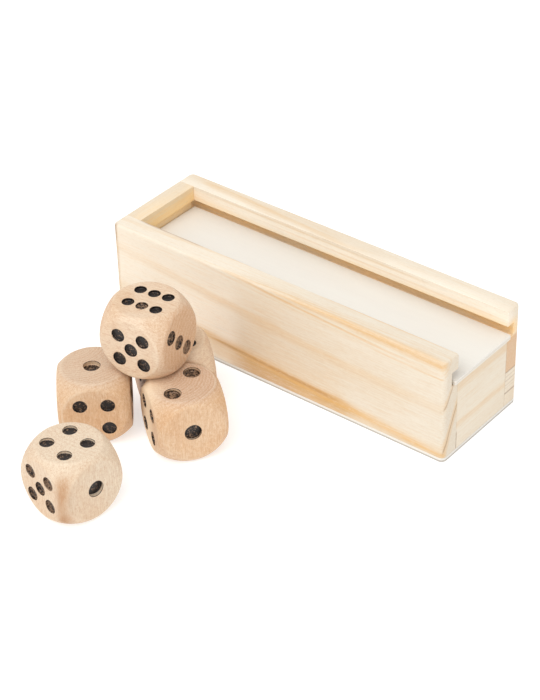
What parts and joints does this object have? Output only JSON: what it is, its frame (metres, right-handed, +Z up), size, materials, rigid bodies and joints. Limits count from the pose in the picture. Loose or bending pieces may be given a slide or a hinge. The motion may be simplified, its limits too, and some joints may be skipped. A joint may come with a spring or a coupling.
{
  "type": "dice set with sliding-lid box",
  "caption": "Round-cornered wooden dice with drilled, black-painted pips, stacked beside a long narrow pine box whose thin lid slides in grooves.",
  "frame": {"origin": "middle of the box's underside, on the surface that the box and the dice stand on", "axes": "+X along the box from its closed end to the end where the lid slides out, +Y from the box's front to its back, +Z up"},
  "size_m": [0.1758, 0.1781, 0.06],
  "materials": {
    "pine": "planed bare pine, pale cream with wide orange grain bands, edges sanded round",
    "plywood": "smooth bare plywood, very pale cream",
    "beech": "bare sanded beech, light tan, pips painted black at the bottom"
  },
  "bodies": {
    "box": {"front_side": "pine", "back_side": "pine", "closed_end": "pine", "low_end": "pine", "base_panel": "plywood"},
    "lid": {"sliding_lid": "plywood"},
    "back_die": {"back_die": "beech"},
    "top_die": {"top_die": "beech"},
    "left_die": {"left_die": "beech"},
    "right_die": {"right_die": "beech"},
    "front_die": {"front_die": "beech"}
  },
  "joints": [
    {"name": "lid_slide", "type": "slide", "parent": "box", "child": "lid", "axis": [1, 0, 0], "range_m": [0, 0.172]},
    {"name": "back_die_lift", "type": "slide", "parent": "box", "child": "back_die", "axis": [0, 0, 1], "range_m": [0, 0.06]},
    {"name": "top_die_lift", "type": "slide", "parent": "back_die", "child": "top_die", "axis": [0, 0, 1], "range_m": [0, 0.04]},
    {"name": "left_die_slide", "type": "slide", "parent": "box", "child": "left_die", "axis": [-1, 0, 0], "range_m": [0, 0.06]},
    {"name": "right_die_slide", "type": "slide", "parent": "box", "child": "right_die", "axis": [1, 0, 0], "range_m": [0, 0.06]},
    {"name": "front_die_lift", "type": "slide", "parent": "box", "child": "front_die", "axis": [0, 0, 1], "range_m": [0, 0.06]}
  ]
}
